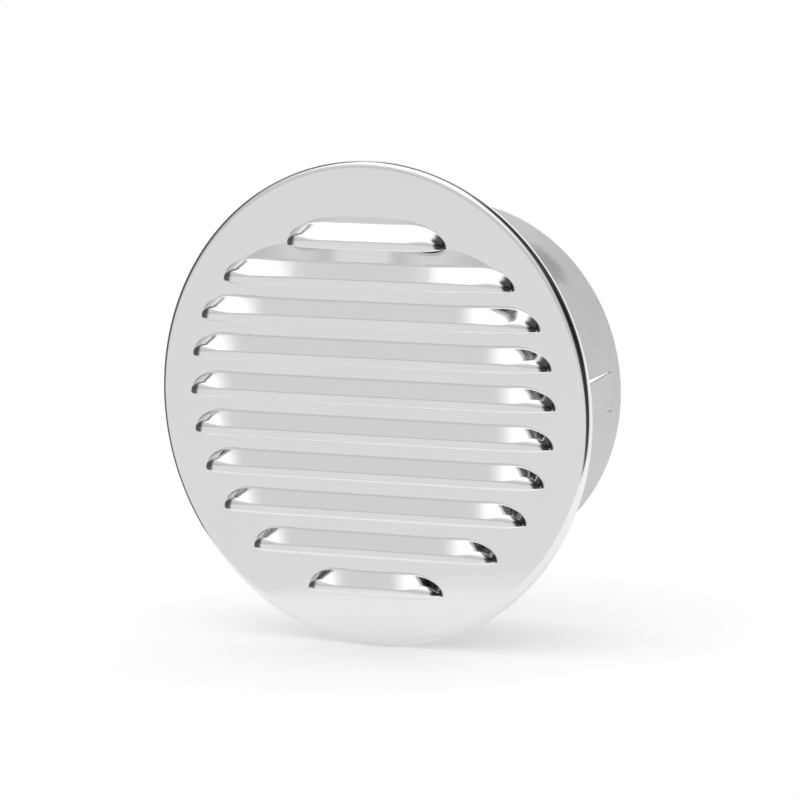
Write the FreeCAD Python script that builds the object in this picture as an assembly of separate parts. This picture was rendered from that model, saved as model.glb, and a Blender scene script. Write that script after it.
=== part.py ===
import FreeCAD, Part
import math
import os

from FreeCAD import Vector

# Round vent cover for a 100 mm hole or duct: a pressed louvred plate, an insect screen behind it
# and a drawn collar, clamped together by the plate's rolled rim.
# Millimetres. +Z is up and the front faces -Y. The origin is on the axis, in the plane of the wall
# that the rim's back touches.

# Cover plate
plate_d = 130.0            # across the rolled rim
plate_t = 0.8              # sheet thickness
rim_depth = 3.5            # from the face to the wall, twice the rim's outer radius
lip_angle = 25.0           # how far the rim is rolled past its half turn, in degrees
lip_land = 2.2             # flat of the rolled edge that presses on the collar's flange
rim_steps = 4              # chords that the rim's half turn is drawn with

# Louvres
louvre_count = 10
louvre_pitch = 10.3
top_slit_z = 42.5
tip_circle_r = 55.3        # the tips of the slits lie on this circle
tip_circle_z = 1.2         # height of that circle's centre
crown_trims = (12.8, 1.8)  # the upper louvres stop short of it, to keep their crowns off the rim
crease_r = 2.8             # bend off the face; radii are those of the sheet's outside
slope_angle = 49.0         # slope from the crease to the lip, in degrees from the face
slope_out = 3.9            # how far the straight slope carries the lip out
edge_r = 0.8               # bend from the slope to the lip
lip_face = 1.1             # upright flat of the lip
curl_r = 1.2               # curl that turns the lip's edge under
curl_angle = 50.0
lip_drop = 0.7             # lip's edge below the slit
dome_len = 8.0             # length over which a rounded end rises to its full height
reach_len = 16.0           # length over which it comes out to its full reach

# Insect screen
screen_t = 0.5
screen_gap = 7.2           # opening between two ribs
screen_pitch = 10.0

# Collar
collar_d = 98.0            # outside, for a hole of 100
collar_t = 0.6
collar_len = 46.2          # from the wall plane to the rear edge
flange_play = 0.15         # radial play of the flange and the screen in the rim
root_r = 1.6               # bend between flange and collar, on the inside of the sheet
root_steps = 2             # chords that the bend is drawn with

# Spring tongues lanced out of the collar
tongue_count = 4
tongue_hinge = 5.3         # hinge line, from the collar's rear edge
tongue_len = 22.0
tongue_hinge_w = 10.2
tongue_tip_w = 7.6
tongue_out = 3.2           # how far the free end springs out
lance_gap = 0.3            # width of the lanced cut

face_y = -rim_depth
face_back_y = face_y + plate_t
screen_back_y = face_back_y + screen_t
flange_back_y = screen_back_y + collar_t
plate_r = plate_d / 2
collar_r = collar_d / 2
rim_r = rim_depth / 2


def turned(points):
    """Revolve a closed profile, given as its corners, about the Y axis."""
    face = Part.Face(Part.makePolygon(points + points[:1]))
    return face.revolve(Vector(0, 0, 0), Vector(0, 1, 0), 360)


def at(r, y):
    return Vector(r, y, 0)


def bend(centre, radius, start, stop, steps):
    """Points of a bend, turned in equal steps; 0 degrees is towards the wall, 90 outwards."""
    turns = [math.radians(start + (stop - start) * n / steps) for n in range(steps + 1)]
    return [centre + radius * at(math.sin(t), math.cos(t)) for t in turns]


def rim_side(radius):
    """One side of the sheet through the rolled rim, from the lip's foot round to the face."""
    centre = at(plate_r - rim_r, face_y + rim_r)
    past = bend(centre, radius, -lip_angle, 0, 1)[0]
    land_y = flange_back_y + radius - (rim_r - plate_t)
    foot = at(past.x - (past.y - land_y) / math.tan(math.radians(lip_angle)), land_y)
    return [foot, past] + bend(centre, radius, 0, 180, rim_steps)


def plate_blank():
    """The disc with its edge rolled back through a half turn and pressed onto the flange."""
    outside = rim_side(rim_r)
    inside = rim_side(rim_r - plate_t)
    land_r = inside[0].x - lip_land
    return turned([at(land_r, outside[0].y)] + outside + [at(0, face_y), at(0, face_back_y)]
                  + inside[::-1] + [at(land_r, inside[0].y)])


def louvre_half_length(row):
    z = top_slit_z - row * louvre_pitch
    half = math.sqrt(tip_circle_r ** 2 - (z - tip_circle_z) ** 2)
    if row < len(crown_trims):
        half -= crown_trims[row]
    return half


def section_corners(depth):
    """Corners (out, up) of a louvre's section from the plane it leaves, at a depth in the sheet.

    It leaves the face in a soft bend, slopes out, turns upright at the lip and curls under.
    """
    corners = [(0, 0)]

    def arc(radius, start, stop, steps):
        out, up = corners[-1]
        side = math.copysign(radius, stop - start)
        a = math.radians(start)
        for n in range(1, steps + 1):
            b = math.radians(start + (stop - start) * n / steps)
            corners.append((out + side * (math.cos(a) - math.cos(b)),
                            up - side * (math.sin(b) - math.sin(a))))

    arc(crease_r + depth, 0, slope_angle, 2)
    out, up = corners[-1]
    corners.append((out + slope_out, up - slope_out / math.tan(math.radians(slope_angle))))
    if depth < edge_r:
        arc(edge_r - depth, slope_angle, 0, 1)
    out, up = corners[-1]
    corners.append((out, up - lip_face))
    arc(curl_r - depth, 0, -curl_angle, 1)
    return corners


outer_section = section_corners(0)
# The form that hollows a louvre runs on past the lip, so that the slit is open below it.
last_out, last_up = section_corners(plate_t)[-1]
curl = math.radians(curl_angle)
hollow_section = section_corners(plate_t) + [(last_out - 2 * plate_t * math.sin(curl),
                                              last_up - 2 * plate_t * math.cos(curl))]
louvre_h = -outer_section[-1][1] - lip_drop

# Distances from the tip at which an end's section is drawn, the last where it is complete.
end_stations = [0.03, 1.2, 4.0, dome_len, reach_len]


def section_wire(x, profile, height, reach):
    """One cross-section of a louvre, its height and reach given as parts of the full ones."""
    corners = [Vector(x, -out * reach, (louvre_h + up) * height) for out, up in profile]
    return Part.makePolygon(corners + [Vector(x, 0, corners[-1].z), corners[0]])


def hood(half_length, profile):
    """Solid between a louvre's surface and the plane y = 0 behind it, with its slit at z = 0."""
    left = []
    right = []
    for s in end_stations:
        height = math.sqrt(1 - (1 - min(s / dome_len, 1)) ** 2)
        reach = (1 - (1 - s / reach_len) ** 2) ** 0.4
        left.append(section_wire(s - half_length, profile, height, reach))
        right.append(section_wire(half_length - s, profile, height, reach))
    return Part.makeLoft(left + right[::-1], True, True)


def below_slit():
    """The flat of the plate under a slit, which the louvre's hollow leaves whole."""
    return Part.makeBox(plate_d, 2 * plate_t, louvre_h, Vector(-plate_r, 0, -louvre_h))


def cover_plate():
    plate = plate_blank()
    hoods = []
    hollows = []
    for row in range(louvre_count):
        half = louvre_half_length(row)
        place = Vector(0, face_y, top_slit_z - row * louvre_pitch)
        outer = hood(half, outer_section)
        outer.translate(place)
        hoods.append(outer)
        inner = hood(half - plate_t, hollow_section)
        inner.translate(Vector(0, plate_t, 0))
        inner = inner.cut(below_slit())
        inner.translate(place)
        hollows.append(inner)
    return plate.multiFuse(hoods).cut(hollows)


def insect_screen():
    """The woven net as one flat wall with a grid of gaps, over the collar's mouth."""
    screen = Part.makeCylinder(clamped_r, screen_t, Vector(0, face_back_y, 0), Vector(0, 1, 0))
    reach = collar_r - root_r - screen_gap / math.sqrt(2)
    steps = int(reach / screen_pitch)
    gaps = []
    for i in range(-steps, steps + 1):
        for k in range(-steps, steps + 1):
            x = i * screen_pitch
            z = k * screen_pitch
            if math.hypot(x, z) <= reach:
                corner = Vector(x - screen_gap / 2, face_back_y, z - screen_gap / 2)
                gaps.append(Part.makeBox(screen_gap, screen_t, screen_gap, corner))
    return screen.cut(gaps)


def collar_blank():
    """Drawn collar: a flat flange, a rounded root and a plain cylinder."""
    centre = at(collar_r + root_r, flange_back_y + root_r)
    outside = bend(centre, root_r, 180, 270, root_steps)
    inside = bend(centre, root_r + collar_t, 180, 270, root_steps)
    return turned([at(clamped_r, screen_back_y), at(clamped_r, flange_back_y)] + outside
                  + [at(collar_r, collar_len), at(collar_r - collar_t, collar_len)] + inside[::-1])


def tongue_prism(margin):
    """Tongue's outline at 3 o'clock, run through the wall, with the lanced cut as its margin."""
    hinge_y = collar_len - tongue_hinge
    tip_y = hinge_y - tongue_len - margin
    half_hinge = tongue_hinge_w / 2 + margin
    half_tip = tongue_tip_w / 2 + margin
    x = collar_r - 3 * collar_t
    outline = Part.makePolygon([Vector(x, hinge_y, -half_hinge), Vector(x, hinge_y, half_hinge),
                                Vector(x, tip_y, half_tip), Vector(x, tip_y, -half_tip),
                                Vector(x, hinge_y, -half_hinge)])
    return Part.Face(outline).extrude(Vector(3 * tongue_out, 0, 0))


def sprung_wall():
    """The collar's wall between the tongues' hinge line and their free ends, flared outwards."""
    hinge_y = collar_len - tongue_hinge
    tip_y = hinge_y - tongue_len
    inside_r = collar_r - collar_t
    return turned([at(collar_r, hinge_y), at(collar_r + tongue_out, tip_y),
                   at(inside_r + tongue_out, tip_y), at(inside_r, hinge_y)])


def collar():
    blank = collar_blank()
    tongue = sprung_wall().common(tongue_prism(0))
    window = tongue_prism(lance_gap)
    windows = []
    tongues = []
    for n in range(tongue_count):
        turn = n * 360 / tongue_count
        for shape, group in ((window, windows), (tongue, tongues)):
            placed = shape.copy()
            placed.rotate(Vector(0, 0, 0), Vector(0, 1, 0), turn)
            group.append(placed)
    return blank.cut(windows).multiFuse(tongues)


# The screen and the collar's flange reach out to the foot of the rim's slope.
clamped_r = rim_side(rim_r - plate_t)[0].x - flange_play

os.makedirs("parts", exist_ok=True)
for name, shape in (("cover_plate", cover_plate()), ("insect_screen", insect_screen()),
                    ("collar", collar())):
    shape = shape.removeSplitter()
    shape.exportStep(f"parts/{name}.step")
    print(name, shape.isValid(), len(shape.Solids), round(shape.Volume, 1), shape.BoundBox)
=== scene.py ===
import math
from collections import Counter
import bpy
from mathutils import Matrix, Vector


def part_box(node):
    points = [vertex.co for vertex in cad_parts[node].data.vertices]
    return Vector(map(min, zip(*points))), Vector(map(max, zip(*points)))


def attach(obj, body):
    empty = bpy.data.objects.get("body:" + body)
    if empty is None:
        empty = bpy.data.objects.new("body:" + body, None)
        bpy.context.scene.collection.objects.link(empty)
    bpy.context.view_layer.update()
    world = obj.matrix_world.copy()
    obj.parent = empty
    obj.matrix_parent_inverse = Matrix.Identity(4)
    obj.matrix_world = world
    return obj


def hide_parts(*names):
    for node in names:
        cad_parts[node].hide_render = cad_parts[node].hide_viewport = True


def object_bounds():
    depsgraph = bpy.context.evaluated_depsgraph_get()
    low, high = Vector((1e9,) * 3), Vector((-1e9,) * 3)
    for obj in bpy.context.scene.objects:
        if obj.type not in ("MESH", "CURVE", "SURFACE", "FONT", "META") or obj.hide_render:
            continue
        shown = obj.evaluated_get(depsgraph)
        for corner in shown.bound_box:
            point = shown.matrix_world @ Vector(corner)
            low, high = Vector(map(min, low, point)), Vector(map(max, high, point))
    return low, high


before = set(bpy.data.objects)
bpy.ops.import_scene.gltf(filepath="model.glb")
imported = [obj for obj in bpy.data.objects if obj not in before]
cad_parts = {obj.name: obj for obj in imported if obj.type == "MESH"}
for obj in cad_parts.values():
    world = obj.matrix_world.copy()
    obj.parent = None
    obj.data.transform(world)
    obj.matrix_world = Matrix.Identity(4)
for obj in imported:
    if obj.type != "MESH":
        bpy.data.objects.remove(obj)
cad_lowest, cad_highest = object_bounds()

# Collar. Drawn in one piece from zinc-coated sheet steel, 0.6 mm: a flat flange that the cover
# plate's rolled rim clamps, a small root bend and a plain cylinder that goes into the hole. Four
# spring tongues are lanced out of its wall and bent outwards to grip.
MM = 0.001
collar_low, collar_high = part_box("collar")
flange_r = collar_high.x
collar_rear_y = collar_high.y
collar_r = 49.0 * MM             # outside, for a hole of 100
collar_t = 0.6 * MM
flange_back_y = collar_low.y + collar_t
flange_middle_r = 56.0 * MM      # a ring in the flange's flat
root_r = 1.6 * MM                # bend between flange and cylinder
root_steps = 8
root_margin = 0.3 * MM           # flats beside the bend, which keep its shading narrow
rear_margin = 0.2 * MM           # the same at the rear edge
ring_steps = 320

tongue_count = 4
tongue_hinge_y = collar_rear_y - 5.3 * MM
tongue_tip_y = tongue_hinge_y - 22.0 * MM
tongue_hinge_half = 5.1 * MM     # half a tongue's width at its hinge
tongue_tip_half = 3.8 * MM
tongue_out = 3.2 * MM            # how far the free end springs out
lance_gap = 0.3 * MM             # width of the lanced cut
hinge_margin = 0.6 * MM          # flats beside the hinge line, which keep its shading narrow
lance_room = 4.0 * MM            # wall on each side of a tongue that its cuts run into
crisp_angle = math.radians(40)   # edges that turn more than this stay crisp


def bend(centre_r, centre_y, radius, start, stop, steps):
    """Points (r, y) of a bend; 0 degrees is towards the wall, 90 outwards from the axis."""
    points = []
    for n in range(steps + 1):
        turn = math.radians(start + (stop - start) * n / steps)
        points.append((centre_r + radius * math.sin(turn), centre_y + radius * math.cos(turn)))
    return points


def pick(piece):
    """Select one piece alone and make it the active one."""
    bpy.ops.object.select_all(action="DESELECT")
    piece.select_set(True)
    bpy.context.view_layer.objects.active = piece


def edit(piece):
    """Go into edit mode on one piece alone."""
    pick(piece)
    bpy.ops.object.mode_set(mode="EDIT")


def done():
    bpy.ops.object.mode_set(mode="OBJECT")


def drawn_sheet(name, profile):
    """One side of a round sheet: a circle drawn out ring by ring along a profile of (r, y)."""
    bpy.ops.object.select_all(action="DESELECT")
    radius, y = profile[0]
    bpy.ops.mesh.primitive_circle_add(vertices=ring_steps, radius=radius, location=(0, y, 0),
                                      rotation=(math.pi / 2, 0, 0))
    sheet = bpy.context.object
    sheet.name = name
    bpy.ops.object.transform_apply(location=True, rotation=True, scale=True)
    edit(sheet)
    bpy.ops.mesh.select_all(action="SELECT")
    for next_radius, next_y in profile[1:]:
        bpy.ops.mesh.extrude_region_move(TRANSFORM_OT_translate={"value": (0, next_y - y, 0)})
        part = next_radius / radius
        bpy.ops.transform.resize(value=(part, 1, part), center_override=(0, next_y, 0))
        radius, y = next_radius, next_y
    done()
    return sheet


def select_faces(piece, wanted):
    """In object mode, select just the faces whose centre passes the test."""
    for face in piece.data.polygons:
        face.select = wanted(face.center)
    for edge in piece.data.edges:
        edge.select = False
    for vertex in piece.data.vertices:
        vertex.select = False


def turn_out(piece, probe, outwards):
    """Make all faces point one way: the face nearest the probe faces along outwards."""
    edit(piece)
    bpy.ops.mesh.select_all(action="SELECT")
    bpy.ops.mesh.normals_make_consistent(inside=False)
    done()
    nearest = min(piece.data.polygons, key=lambda face: (face.center - probe).length)
    if nearest.normal.dot(outwards) < 0:
        edit(piece)
        bpy.ops.mesh.select_all(action="SELECT")
        bpy.ops.mesh.flip_normals()
        done()


def give_thickness(piece, thickness):
    """Turn one side of a sheet into the whole sheet, its other side behind the faces."""
    pick(piece)
    sheet = piece.modifiers.new("sheet", "SOLIDIFY")
    sheet.thickness = thickness
    sheet.offset = -1
    sheet.use_even_offset = True
    sheet.thickness_clamp = 0
    bpy.ops.object.modifier_apply(modifier=sheet.name)


def smooth(piece):
    """Smooth shading that leaves flat faces flat and sharp bends crisp."""
    pick(piece)
    bpy.ops.object.shade_smooth_by_angle(angle=crisp_angle)
    weights = piece.modifiers.new("weights", "WEIGHTED_NORMAL")
    weights.keep_sharp = True
    weights.weight = 90
    bpy.ops.object.modifier_apply(modifier=weights.name)


def tongue_half(y, margin):
    """Half the width of a tongue's outline at a place along the collar, with a margin."""
    along = (tongue_hinge_y - y) / (tongue_hinge_y - tongue_tip_y)
    return tongue_hinge_half + (tongue_tip_half - tongue_hinge_half) * along + margin


def lance_tongue(piece, turn):
    """Cut the outline of one tongue into the collar's wall, open its gap and bend it out."""
    turned = Matrix.Rotation(turn, 3, "Y")
    back = turned.inverted()
    slant = (tongue_hinge_half - tongue_tip_half) / (tongue_hinge_y - tongue_tip_y)
    reach = tongue_hinge_half + lance_room

    def near(centre, low, high):
        place = back @ centre
        return place.x > 0 and abs(place.z) < reach and low < place.y < high

    def cut(point, normal, low, high):
        select_faces(piece, lambda centre: near(centre, low, high))
        edit(piece)
        bpy.ops.mesh.bisect(plane_co=turned @ Vector(point), plane_no=turned @ Vector(normal))
        done()

    for y in (tongue_tip_y - lance_gap, tongue_tip_y, tongue_hinge_y - hinge_margin, tongue_hinge_y,
              tongue_hinge_y + hinge_margin):
        cut((0, y, 0), (0, 1, 0), root_r, collar_rear_y)
    for margin in (0, lance_gap):
        for side in (-1, 1):
            cut((0, tongue_hinge_y, side * (tongue_hinge_half + margin)), (0, side * slant, -1),
                tongue_tip_y - lance_gap, tongue_hinge_y)

    def in_gap(centre):
        place = back @ centre
        inside = (tongue_tip_y - lance_gap < place.y < tongue_hinge_y and place.x > 0
                  and abs(place.z) < tongue_half(place.y, lance_gap))
        tongue = place.y > tongue_tip_y and abs(place.z) < tongue_half(place.y, 0)
        return inside and not tongue

    select_faces(piece, in_gap)
    edit(piece)
    bpy.ops.mesh.delete(type="FACE")
    done()
    slope = tongue_out / (tongue_hinge_y - tongue_tip_y)
    for vertex in piece.data.vertices:
        place = back @ vertex.co
        along = tongue_hinge_y - place.y
        held = tongue_half(place.y, lance_gap / 2)
        if along > 0 and place.y > tongue_tip_y - lance_gap / 2 and place.x > 0 and abs(place.z) < held:
            place.x += along * slope
            vertex.co = turned @ place


collar = drawn_sheet("collar_sheet", [(flange_r, flange_back_y), (flange_middle_r, flange_back_y),
                                      (collar_r + root_r + root_margin, flange_back_y)]
                     + bend(collar_r + root_r, flange_back_y + root_r, root_r, 180, 270, root_steps)
                     + [(collar_r, flange_back_y + root_r + root_margin),
                        (collar_r, collar_rear_y - rear_margin), (collar_r, collar_rear_y)])
for n in range(tongue_count):
    lance_tongue(collar, n * 2 * math.pi / tongue_count)
# The probe is on the plain wall at 3 o'clock, between the root and the tongue.
turn_out(collar, Vector((collar_r, 10 * MM, 0)), Vector((1, 0, 0)))
give_thickness(collar, collar_t)
smooth(collar)


def linear(code):
    """An sRGB hex colour as linear RGBA."""
    parts = [int(code[i:i + 2], 16) / 255 for i in (1, 3, 5)]
    return [p / 12.92 if p <= 0.04045 else ((p + 0.055) / 1.055) ** 2.4 for p in parts] + [1]


def add(tree, kind, inputs=None, **settings):
    """Add a node with its settings; an input is a value or the output socket to link."""
    node = tree.nodes.new(kind)
    for name, value in settings.items():
        setattr(node, name, value)
    for name, value in (inputs or {}).items():
        if isinstance(value, bpy.types.NodeSocket):
            tree.links.new(value, node.inputs[name])
        else:
            node.inputs[name].default_value = value
    return node


def new_finish(name):
    """A material with an empty node tree and its output."""
    finish = bpy.data.materials.new(name)
    finish.use_nodes = True
    finish.node_tree.nodes.clear()
    return finish, finish.node_tree, add(finish.node_tree, "ShaderNodeOutputMaterial")


def finish_piece(piece, finish):
    """Give a piece its finish and the one body that there is."""
    piece.data.materials.clear()
    piece.data.materials.append(finish)
    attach(piece, "root")


# Hot-dip zinc on steel, cold rolled after dipping: dull, softly mottled, no sharp reflections.
galvanised, tree, output = new_finish("galvanised_steel")
place = add(tree, "ShaderNodeTexCoord").outputs["Object"]
mottle = add(tree, "ShaderNodeTexNoise", {"Vector": place, "Scale": 1 / (9 * MM), "Detail": 4.0,
                                          "Roughness": 0.6})
grain = add(tree, "ShaderNodeTexNoise", {"Vector": place, "Scale": 1 / (0.9 * MM), "Detail": 2.0})
tone = add(tree, "ShaderNodeMix", {"Factor": mottle.outputs["Fac"], "A": linear("#bfbfbf"),
                                   "B": linear("#d0d0cf")}, data_type="RGBA")
# A darker patch on the collar at half past one. The mottle makes its edge ragged.
dark_patch_place = (34 * MM, 34 * MM, 35 * MM)
apart = add(tree, "ShaderNodeVectorMath", {0: place, 1: dark_patch_place}, operation="DISTANCE")
ragged = add(tree, "ShaderNodeMath", {0: mottle.outputs["Fac"], 1: 20 * MM, 2: apart.outputs["Value"]},
             operation="MULTIPLY_ADD")
dark_patch = add(tree, "ShaderNodeMapRange", {"Value": ragged.outputs["Value"], "From Min": 11 * MM,
                                          "From Max": 18 * MM, "To Min": 0.7, "To Max": 0.0},
             interpolation_type="SMOOTHSTEP")
tone = add(tree, "ShaderNodeMix", {"Factor": dark_patch.outputs["Result"], "A": tone.outputs["Result"],
                                   "B": linear("#8f9090")}, data_type="RGBA")
dull = add(tree, "ShaderNodeMapRange", {"Value": mottle.outputs["Fac"], "From Min": 0.3, "From Max": 0.7,
                                        "To Min": 0.34, "To Max": 0.46})
relief = add(tree, "ShaderNodeBump", {"Height": grain.outputs["Fac"], "Strength": 0.12,
                                      "Distance": 0.05 * MM})
shader = add(tree, "ShaderNodeBsdfPrincipled", {"Base Color": tone.outputs["Result"], "Metallic": 1.0,
                                                "Roughness": dull.outputs["Result"],
                                                "Normal": relief.outputs["Normal"]})
tree.links.new(shader.outputs["BSDF"], output.inputs["Surface"])
finish_piece(collar, galvanised)
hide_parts("collar")


# Insect screen. A disc of woven aluminium wire net, laid behind the louvres and clamped all round
# between the cover plate and the collar's flange.
screen_low, screen_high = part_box("insect_screen")
screen_r = screen_high.x
screen_y = (screen_low.y + screen_high.y) / 2
wire_r = 0.11 * MM
wire_pitch = 1.8 * MM            # 14 wires to the inch
wire_swing = 1.5 * wire_r        # how far a wire leaves the net's middle at a crossing


def add_wire(net, across, along_x):
    """One wire of the net, over and under the wires that it crosses."""
    half = math.sqrt(screen_r ** 2 - (across * wire_pitch) ** 2)
    count = int(half / wire_pitch)
    wire = net.splines.new("NURBS")
    wire.points.add(2 * count)
    for n, point in enumerate(wire.points):
        crossing = n - count
        over = 1 if (crossing + across + along_x) % 2 else -1
        place = [crossing * wire_pitch, across * wire_pitch]
        x, z = place if along_x else place[::-1]
        point.co = (x, screen_y + over * wire_swing, z, 1)
    wire.order_u = 3
    wire.use_endpoint_u = True


net = bpy.data.curves.new("woven_net", "CURVE")
net.dimensions = "3D"
net.resolution_u = 2
net.bevel_depth = wire_r
net.bevel_resolution = 0
outermost = int(screen_r / wire_pitch) - 1
for across in range(-outermost, outermost + 1):
    add_wire(net, across, 1)
    add_wire(net, across, 0)
screen = bpy.data.objects.new("woven_screen", net)
bpy.context.scene.collection.objects.link(screen)
pick(screen)
bpy.ops.object.convert(target="MESH")
screen = bpy.context.object
bpy.ops.object.shade_smooth()

# Drawn aluminium wire, a little dulled by handling and dust.
wire_finish, tree, output = new_finish("drawn_aluminium_wire")
place = add(tree, "ShaderNodeTexCoord").outputs["Object"]
dust = add(tree, "ShaderNodeTexNoise", {"Vector": place, "Scale": 1 / (6 * MM), "Detail": 3.0})
tone = add(tree, "ShaderNodeMix", {"Factor": dust.outputs["Fac"], "A": linear("#d6d7d8"),
                                   "B": linear("#e6e7e8")}, data_type="RGBA")
shader = add(tree, "ShaderNodeBsdfPrincipled", {"Base Color": tone.outputs["Result"], "Metallic": 1.0,
                                                "Roughness": 0.38})
tree.links.new(shader.outputs["BSDF"], output.inputs["Surface"])
finish_piece(screen, wire_finish)
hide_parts("insect_screen")


# Cover plate. Pressed in one blow from 0.8 mm satin aluminium: ten louvres that open downwards,
# shorter towards the top and bottom of the disc, and a rim rolled back through a half turn whose
# lip is crimped down on the collar's flange.
plate_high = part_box("cover_plate")[1]
plate_r = plate_high.x
plate_t = 0.8 * MM
rim_r = 1.75 * MM
face_y = plate_high.y - 2 * rim_r
rim_past = 25                    # how far the rim is rolled past its half turn, in degrees
crimp_land = 2.2 * MM            # flat of the lip that presses on the collar's flange
foot_flat = 0.15 * MM            # soft corner between that flat and the rim's roll
foot_run = 0.12 * MM
foot_rise = 0.06 * MM
face_start = 0.4 * MM            # from the end of the rim's roll to the first ring of the face
touch = 0.001 * MM               # points closer than this count as touching

louvre_count = 10
louvre_pitch = 10.3 * MM
top_slit_z = 42.5 * MM
tip_circle_r = 55.3 * MM         # the louvres' tips lie on this circle
tip_circle_z = 1.2 * MM          # height of its centre
crown_trims = (12.8 * MM, 1.8 * MM)  # the top two louvres stop short of the circle
louvre_columns = 100             # faces of a louvre's grid, along its length

crease_r = 1.2 * MM              # bend off the face
top_crease_r = 3.4 * MM          # the same in the middle of the top louvre, where it is softer
top_crease_run = 20.0 * MM       # distance from a tip at which the crease is at its softest
slope_angle = math.radians(42)   # slope from the crease to the lip, from the face
slope_out = 3.25 * MM            # how far the straight slope carries the lip out
edge_r = 0.8 * MM                # bend from the slope to the lip
lip_land = 1.1 * MM              # upright flat of the lip
curl_r = 1.2 * MM                # curl that turns the lip's edge under
curl_angle = math.radians(50)
lip_drop = 0.7 * MM              # lip's edge below the slit
lip_room = 1.0 * MM              # nothing of a louvre is this far below its slit

dome_crease_r = 0.7 * MM         # the same sizes at a louvre's tip, where its end is a dome
dome_angle = math.radians(56)
dome_slope = 2.6 * MM            # length of the slope
dome_edge_r = 3.0 * MM
dome_land = 0.9 * MM
dome_length = 8.0 * MM           # length over which an end rises to its full height
reach_length = 7.0 * MM          # length over which it comes out to its full reach
blend_start = 3.0 * MM           # distance from a tip at which the dome starts to turn into the slope
blend_run = 8.0 * MM             # length over which it does
end_zone = 24.0 * MM             # the end of a louvre in which its grid lines stand closer

bow_out = 2.2 * MM               # how far the strips between louvres are pulled out of the face
bow_run = 18.0 * MM              # length over which they rise to that
shoulder_column = 20             # grid line of the second louvre where the sheet above starts to rise
shoulder_run = 26.0 * MM         # length over which that sheet rises
shoulder_steps = 24


def rim_profile():
    """The rim's outer side, from the lip's edge on the flange round to the flat of the face."""
    centre_r = plate_r - rim_r
    centre_y = face_y + rim_r
    past = math.radians(rim_past)
    start_r = centre_r - rim_r * math.sin(past)
    start_y = centre_y + rim_r * math.cos(past)
    land_y = flange_back_y + plate_t
    foot_r = start_r - (start_y - land_y) / math.tan(past)
    inner_foot_r = foot_r + plate_t * math.tan(past / 2)
    return ([(inner_foot_r - crimp_land, land_y), (foot_r - foot_flat, land_y),
             (foot_r + foot_run, land_y + foot_rise)]
            + bend(centre_r, centre_y, rim_r, -rim_past, 0, 3)
            + bend(centre_r, centre_y, rim_r, 0, 180, 20)[1:]
            + [(centre_r - face_start, face_y)])


def ease(part):
    """Run softly from 0 to 1 as part does."""
    part = min(max(part, 0), 1)
    return part * part * (3 - 2 * part)


def crease_radius(s, row):
    """Radius of the bend off the face at a distance s from a tip."""
    if row == 0:
        return crease_r + (top_crease_r - crease_r) * ease(s / top_crease_run)
    return crease_r


def bends(crease, angle, slope, edge, land):
    """A louvre's section as (out, up): bend off the face, slope, edge, upright lip and curl."""
    points = [(0, 0)]

    def turn_by(radius, start, stop, steps):
        out, up = points[-1]
        side = 1 if stop > start else -1
        for n in range(1, steps + 1):
            turn = start + (stop - start) * n / steps
            points.append((out + side * radius * (math.cos(start) - math.cos(turn)),
                           up - side * radius * (math.sin(turn) - math.sin(start))))

    def straight(length, turn, steps):
        out, up = points[-1]
        for n in range(1, steps + 1):
            along = length * n / steps
            points.append((out + along * math.sin(turn), up - along * math.cos(turn)))

    turn_by(crease, 0, angle, 8)
    straight(slope, angle, 4)
    turn_by(edge, angle, 0, 8)
    straight(land, 0, 2)
    turn_by(curl_r, 0, -curl_angle, 6)
    lowest = points[-1][1]
    return [(out, up - lowest - lip_drop) for out, up in points]


def section_points(s, row):
    """The section at a distance s from a tip: straight in the middle, domed near the tips."""
    plain = bends(crease_radius(s, row), slope_angle, slope_out / math.sin(slope_angle), edge_r, lip_land)
    domed = bends(dome_crease_r, dome_angle, dome_slope, dome_edge_r, dome_land)
    part = ease((s - blend_start) / blend_run)
    return [(a[0] * part + b[0] * (1 - part), a[1] * part + b[1] * (1 - part))
            for a, b in zip(plain, domed)]


def station(u, half_length):
    """Distance from the nearer tip for a grid line u, from -1 to 1, close together at the tips."""
    middle = 0.12
    crowding = 1.8
    inwards = 1 - abs(u)
    zone = min(end_zone, half_length)
    if inwards < 1 - middle:
        return zone * (inwards / (1 - middle)) ** crowding
    return zone + (half_length - zone) * (inwards - 1 + middle) / middle


def slit_height(row):
    return top_slit_z - row * louvre_pitch


def half_length_of(row):
    half = math.sqrt(tip_circle_r ** 2 - (slit_height(row) - tip_circle_z) ** 2)
    return half - crown_trims[row] if row < len(crown_trims) else half


def end_reach(s):
    """Part of its full reach that a louvre has at a distance s from its tip."""
    return math.sqrt(1 - (1 - min(s / reach_length, 1)) ** 2)


def end_height(s):
    """Part of its full height that it has there."""
    return math.sqrt(1 - (1 - min(s / dome_length, 1)) ** 2)


def crown_height(s, row):
    """Height of a louvre's upper edge above its slit."""
    return section_points(s, row)[0][1] * end_height(s)


def add_louvre(row):
    """The pressed hood of one louvre, and the straight edge of the slit below it."""
    rows = len(section_points(0, row))
    half_length = half_length_of(row)
    bpy.ops.mesh.primitive_grid_add(x_subdivisions=louvre_columns, y_subdivisions=rows - 1, size=2)
    hood = bpy.context.object
    for vertex in hood.data.vertices:
        s = station(vertex.co.x, half_length)
        out, up = section_points(s, row)[round((1 - vertex.co.y) / 2 * (rows - 1))]
        x = math.copysign(half_length - s, vertex.co.x)
        vertex.co = (x, face_y - out * end_reach(s), slit_height(row) + up * end_height(s))
    bpy.ops.mesh.primitive_grid_add(x_subdivisions=louvre_columns, y_subdivisions=1, size=2)
    slit = bpy.context.object
    for vertex in slit.data.vertices:
        s = station(vertex.co.x, half_length)
        vertex.co = (math.copysign(half_length - s, vertex.co.x), face_y, slit_height(row))
    return [hood, slit]


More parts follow.
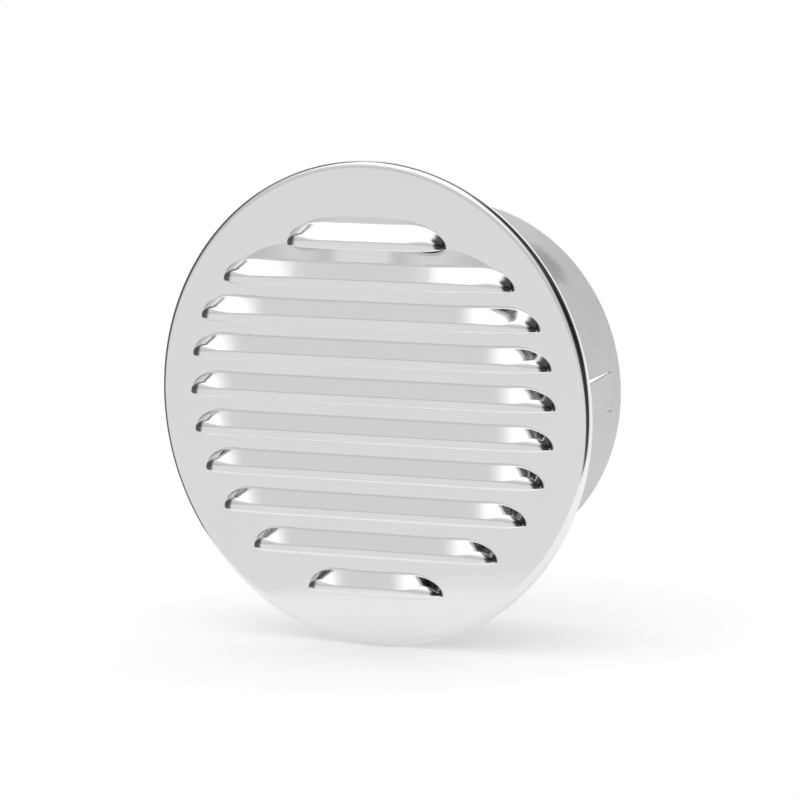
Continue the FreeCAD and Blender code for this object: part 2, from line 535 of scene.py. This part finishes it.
def strip_bow(row, x):
    """How far the strip between a louvre and the next one down is pulled out of the face at x."""
    if row < 0 or row == louvre_count - 1:
        return 0
    shorter = min(half_length_of(row), half_length_of(row + 1))
    return bow_out * ease((shorter - abs(x)) / bow_run)


def shoulder_start():
    """Distance from the second louvre's tip at which the sheet above it starts to rise."""
    return station(2 * shoulder_column / louvre_columns - 1, half_length_of(1))


def add_shoulder(side):
    """The line along which the sheet starts to rise between the second louvre's end and the top
    louvre's tip, which stands further in."""
    s = shoulder_start()
    first = (half_length_of(1) - s, slit_height(1) + crown_height(s, 1))
    last = (half_length_of(0), slit_height(0))
    roundness = 1.6
    bpy.ops.mesh.primitive_grid_add(x_subdivisions=shoulder_steps, y_subdivisions=1, size=2)
    line = bpy.context.object
    for vertex in line.data.vertices:
        part = (vertex.co.x + 1) / 2
        x = first[0] + (last[0] - first[0]) * part
        z = first[1] + (last[1] - first[1]) * (1 - (1 - part) ** roundness)
        vertex.co = (side * x, face_y, z)
    return line


def pull_out(place):
    """Bring the strips between the louvres forward with the slits' and the crowns' edges."""
    for row in range(louvre_count):
        above = place.z - slit_height(row)
        s = half_length_of(row) - abs(place.x)
        if s <= 0 or not -lip_room < above < crown_height(s, row) + 10 * touch:
            continue
        out = face_y - place.y
        if out < touch and abs(above) < touch:
            place.y -= strip_bow(row, place.x)
            return
        bow = strip_bow(row - 1, place.x)
        if row == 1:
            bow = max(bow, bow_out * ease((s - shoulder_start()) / shoulder_run))
        lip = max(out for out, up in section_points(s, row)) * end_reach(s)
        place.y -= bow * (1 - out / lip)
        return


bpy.ops.object.select_all(action="DESELECT")
plate = drawn_sheet("louvred_plate", rim_profile())
forms = [plate]
for row in range(louvre_count):
    forms += add_louvre(row)
forms += [add_shoulder(-1), add_shoulder(1)]
bpy.ops.object.select_all(action="DESELECT")
for form in forms:
    form.select_set(True)
bpy.context.view_layer.objects.active = plate
bpy.ops.object.join()
edit(plate)
bpy.ops.mesh.select_all(action="SELECT")
bpy.ops.mesh.remove_doubles(threshold=4 * touch)
done()
# The open edges that lie in the face are its outline, the louvres' edges and the shoulders'
# lines, and the flat sheet is filled in between them.
uses = Counter(key for face in plate.data.polygons for key in face.edge_keys)
flat_r = plate_r - rim_r - face_start / 2
select_faces(plate, lambda centre: False)
for edge in plate.data.edges:
    ends = [plate.data.vertices[i].co for i in edge.vertices]
    flat = all(abs(end.y - face_y) < touch and math.hypot(end.x, end.z) < flat_r for end in ends)
    edge.select = flat and uses[edge.key] < 2
edit(plate)
bpy.ops.mesh.select_mode(type="EDGE")
bpy.ops.mesh.mark_sharp()
bpy.ops.mesh.fill(use_beauty=True)
done()
for vertex in plate.data.vertices:
    pull_out(vertex.co)
# The probe is on the flat above the top louvre.
turn_out(plate, Vector((0, face_y, 58 * MM)), Vector((0, -1, 0)))
give_thickness(plate, plate_t)
smooth(plate)

# Satin aluminium sheet: bright and fairly clear in reflection, with faint rolling lines across.
# The lines are drawn coarser than real ones, or they wouldn't show.
satin, tree, output = new_finish("satin_aluminium")
place = add(tree, "ShaderNodeTexCoord").outputs["Object"]
along = add(tree, "ShaderNodeMapping", {"Vector": place, "Scale": (0.03, 1.0, 1.0)})
lines = add(tree, "ShaderNodeTexNoise", {"Vector": along.outputs["Vector"], "Scale": 1 / (0.35 * MM),
                                         "Detail": 3.0})
cloud = add(tree, "ShaderNodeTexNoise", {"Vector": place, "Scale": 1 / (25 * MM), "Detail": 2.0})
worn = add(tree, "ShaderNodeMapRange", {"Value": cloud.outputs["Fac"], "From Min": 0.3, "From Max": 0.7,
                                        "To Min": 0.12, "To Max": 0.16})
relief = add(tree, "ShaderNodeBump", {"Height": lines.outputs["Fac"], "Strength": 0.06,
                                      "Distance": 0.02 * MM})
shader = add(tree, "ShaderNodeBsdfPrincipled", {"Base Color": linear("#ececec"), "Metallic": 1.0,
                                                "Roughness": worn.outputs["Result"],
                                                "Normal": relief.outputs["Normal"]})
tree.links.new(shader.outputs["BSDF"], output.inputs["Surface"])
finish_piece(plate, satin)
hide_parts("cover_plate")


# Camera at the photograph's viewing angle: a long lens, a little above and to the right.
azimuth = math.radians(29.5)
elevation = math.radians(8.2)
roll = math.radians(1.5)
distance = 22.52 * plate_r
aim_right = 0.120 * plate_r
aim_up = 0.022 * plate_r
look = (Matrix.Rotation(azimuth, 4, "Z") @ Matrix.Rotation(math.pi / 2 - elevation, 4, "X")
        @ Matrix.Rotation(-roll, 4, "Z"))
camera_data = bpy.data.cameras.new("camera")
camera_data.lens = 248.8
camera_data.sensor_width = 36
camera_data.clip_start = 0.05
camera_data.clip_end = 60
camera = bpy.data.objects.new("camera", camera_data)
bpy.context.scene.collection.objects.link(camera)
offset = look @ Vector((aim_right, aim_up, distance))
camera.matrix_world = Matrix.Translation(Vector((0, face_y, 0)) + offset) @ look
bpy.context.scene.camera = camera

# Floor: a small round table top, plain white, that the rim stands on. The dim sides of the studio
# show past its edge in the rim's roll and in the face. What the eye and the metal see of it is
# partly plain white, so that it runs into the white behind it; the rest is matt and takes the shadow.
table_r = 160 * MM
table_x, table_y = 40 * MM, 60 * MM
plain_part = 0.24
plain_strength = 1.4
bpy.ops.object.select_all(action="DESELECT")
bpy.ops.mesh.primitive_circle_add(vertices=128, radius=table_r, fill_type="NGON",
                                  location=(table_x, table_y, cad_lowest.z))
floor = bpy.context.object
floor.name = "floor"
white, tree, output = new_finish("white_table")
rays = add(tree, "ShaderNodeLightPath").outputs
seen = add(tree, "ShaderNodeMath", {0: rays["Is Camera Ray"], 1: rays["Is Glossy Ray"]},
           operation="MAXIMUM")
lifted = add(tree, "ShaderNodeMath", {0: seen.outputs["Value"], 1: plain_part}, operation="MULTIPLY")
matt = add(tree, "ShaderNodeBsdfDiffuse", {"Color": linear("#fbfbfb")})
plain_white = add(tree, "ShaderNodeEmission", {"Color": (1, 1, 1, 1), "Strength": plain_strength})
shader = add(tree, "ShaderNodeMixShader", {0: lifted.outputs["Value"], 1: matt.outputs["BSDF"],
                                           2: plain_white.outputs["Emission"]})
tree.links.new(shader.outputs["Shader"], output.inputs["Surface"])
floor.data.materials.append(white)

# Studio: a white backdrop behind, a wide soft box overhead and grey walls in front, drawn as the
# world's brightness in each direction. The louvres' ends and the rolled rim reflect dark flags as
# their dark lines and crescents.
world = bpy.data.worlds.new("studio")
bpy.context.scene.world = world
world.use_nodes = True
tree = world.node_tree
tree.nodes.clear()
output = add(tree, "ShaderNodeOutputWorld")
direction = add(tree, "ShaderNodeTexCoord").outputs["Generated"]
axes = add(tree, "ShaderNodeSeparateXYZ", {"Vector": direction}).outputs


def fade(value, low, high, start, stop):
    """Brightness that runs softly from start to stop as a socket's value goes from low to high."""
    return add(tree, "ShaderNodeMapRange", {"Value": value, "From Min": low, "From Max": high,
                                            "To Min": start, "To Max": stop},
               interpolation_type="SMOOTHSTEP").outputs["Result"]


def flag(towards, low, high, depth):
    """A round dark panel: 1 where the cosine to its middle is under low, depth where it is over high."""
    near = add(tree, "ShaderNodeVectorMath", {0: direction, 1: Vector(towards).normalized()},
               operation="DOT_PRODUCT")
    return fade(near.outputs["Value"], low, high, 1, depth)


def overlaid(layers):
    """The product of layers of light and shade."""
    result = layers[0]
    for layer in layers[1:]:
        result = add(tree, "ShaderNodeMath", {0: result, 1: layer}, operation="MULTIPLY").outputs["Value"]
    return result


# The grey walls in front are lightest below the eye's level, and a little lighter again high up.
walls = add(tree, "ShaderNodeMath", {0: fade(axes["Z"], -0.12, 0.04, 0.83, 0.60),
                                     1: fade(axes["Z"], 0.05, 0.45, 0.0, 0.14)}, operation="ADD")
backed = add(tree, "ShaderNodeMix", {"Factor": fade(axes["Y"], 0.05, 0.45, 0.0, 1.0),
                                     "A": walls.outputs["Value"], "B": 1.0}, data_type="FLOAT")
soft_box = add(tree, "ShaderNodeMix", {"Factor": fade(axes["Z"], 0.50, 0.80, 0.0, 1.0),
                                       "A": backed.outputs["Result"], "B": 1.35}, data_type="FLOAT")
# A dark band hangs overhead, from just behind the object to the top of the backdrop.
band = overlaid([fade(axes["Y"], 0.08, 0.20, 0.0, 1.0), fade(axes["Y"], 0.55, 0.70, 0.92, 0.0),
                 fade(axes["Z"], 0.15, 0.35, 0.0, 1.0), fade(axes["X"], -0.55, -0.38, 0.0, 1.0),
                 fade(axes["X"], 0.55, 0.75, 1.0, 0.0)])
banded = add(tree, "ShaderNodeMath", {0: 1.0, 1: band}, operation="SUBTRACT")
left = flag((-0.95, 0.10, 0.0), 0.78, 0.90, 0.12)
upper_left = flag((-0.70, 0.20, 0.66), 0.93, 0.985, 0.10)
upper_right = flag((0.72, 0.02, 0.66), 0.68, 0.86, 0.05)
camera_side = flag((0.85, -0.50, 0.10), 0.76, 0.90, 0.05)
studio = overlaid([soft_box.outputs["Result"], left, upper_left, upper_right, camera_side,
                   banded.outputs["Value"]])
# Metal shows the studio, and matt paint is lit as if all of it were plain white. The camera itself
# sees plain white on every side.
rays = add(tree, "ShaderNodeLightPath").outputs
mirrored = add(tree, "ShaderNodeMath", {0: rays["Is Glossy Ray"], 1: rays["Is Transmission Ray"]},
               operation="MAXIMUM")
level = add(tree, "ShaderNodeMix", {"Factor": mirrored.outputs["Value"], "A": 1.0, "B": studio},
            data_type="FLOAT")
shown = add(tree, "ShaderNodeMix", {"Factor": rays["Is Camera Ray"], "A": level.outputs["Result"],
                                    "B": 1.0}, data_type="FLOAT")
glow = add(tree, "ShaderNodeBackground", {"Color": (1, 1, 1, 1), "Strength": shown.outputs["Result"]})
tree.links.new(glow.outputs["Background"], output.inputs["Surface"])

bpy.context.scene.view_settings.view_transform = "Standard"
